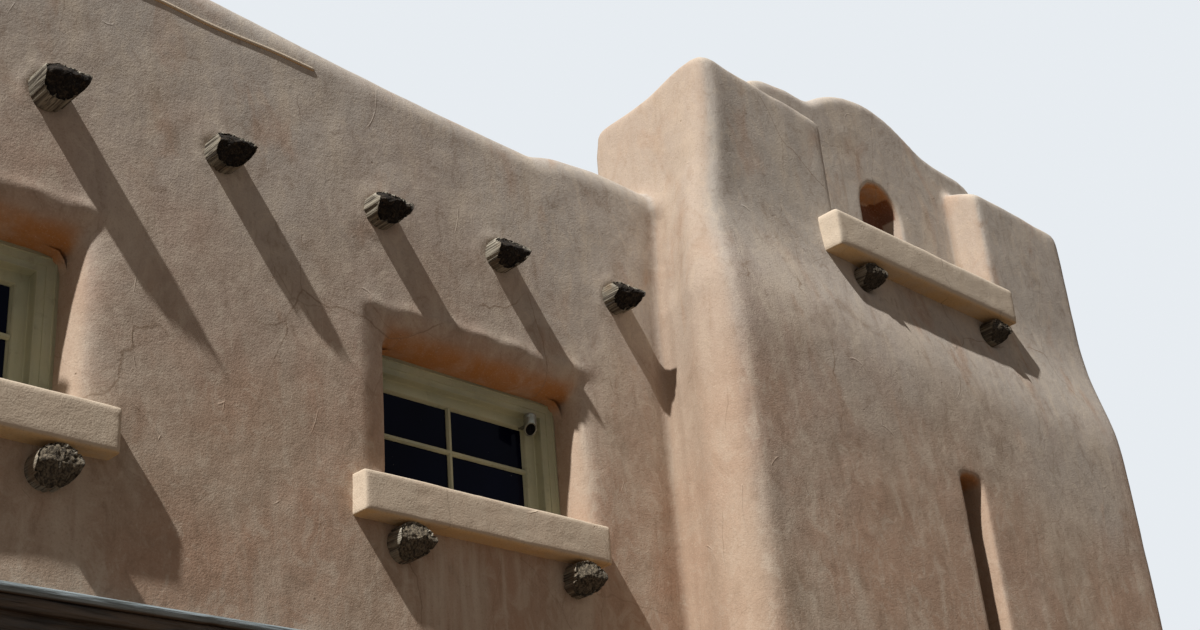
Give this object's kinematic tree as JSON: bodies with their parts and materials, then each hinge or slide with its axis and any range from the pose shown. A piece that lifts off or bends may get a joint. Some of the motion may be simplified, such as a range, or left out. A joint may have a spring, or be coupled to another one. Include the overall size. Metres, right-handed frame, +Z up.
{
  "type": "adobe house",
  "caption": "Adobe house of two storeys with a log-studded wing, deep upper windows on sill beams and a tower with a curved gable, niche and balcony beam.",
  "frame": {"origin": "on the ground in the plane of the wing's front face, midway between the wing's end wall and the tower's right wall", "axes": "+X along the front to the tower, +Y into the house, +Z up; the front looks along -Y"},
  "size_m": [13.2, 6.22, 8.2625],
  "materials": {
    "adobe_plaster": "matte hand-trowelled plaster",
    "log_wood": "weathered, grained",
    "old_timber": "weathered",
    "floor_boards": "worn boards",
    "packed_floor": "packed and sealed",
    "earth_roof": "packed earth",
    "painted_frame": "old paint",
    "grey_metal": "satin",
    "window_glass": "clear"
  },
  "bodies": {
    "root": {"back_wall": "adobe_plaster", "balcony_beam": "adobe_plaster", "balcony_corbel_left": "log_wood", "balcony_corbel_right": "log_wood", "curved_gable": "adobe_plaster", "drip_board": "old_timber", "front_sill_corbels": "log_wood", "ground_floor": "packed_floor", "left_pier": "adobe_plaster", "plain_side_sill_beams": "adobe_plaster", "plain_side_sill_corbels": "log_wood", "plain_side_window_frames": "painted_frame", "plain_side_window_glass": "window_glass", "portal_lintel": "old_timber", "right_pier": "adobe_plaster", "roof_deck": "earth_roof", "roof_log_01": "log_wood", "roof_log_02": "log_wood", "roof_log_03": "log_wood", "roof_log_04": "log_wood", "roof_log_05": "log_wood", "roof_log_06": "log_wood", "roof_log_07": "log_wood", "roof_log_08": "log_wood", "roof_log_09": "log_wood", "sensor_tube": "grey_metal", "tower_front_wall": "adobe_plaster", "tower_left_wall": "adobe_plaster", "tower_right_wall": "adobe_plaster", "upper_floor": "floor_boards", "window_1_frame": "painted_frame", "window_1_glass": "window_glass", "window_1_sill_beam": "adobe_plaster", "window_2_frame": "painted_frame", "window_2_glass": "window_glass", "window_2_sill_beam": "adobe_plaster", "window_3_frame": "painted_frame", "window_3_glass": "window_glass", "window_3_sill_beam": "adobe_plaster", "wing_end_wall": "adobe_plaster", "wing_front_wall": "adobe_plaster"}
  },
  "joints": []
}
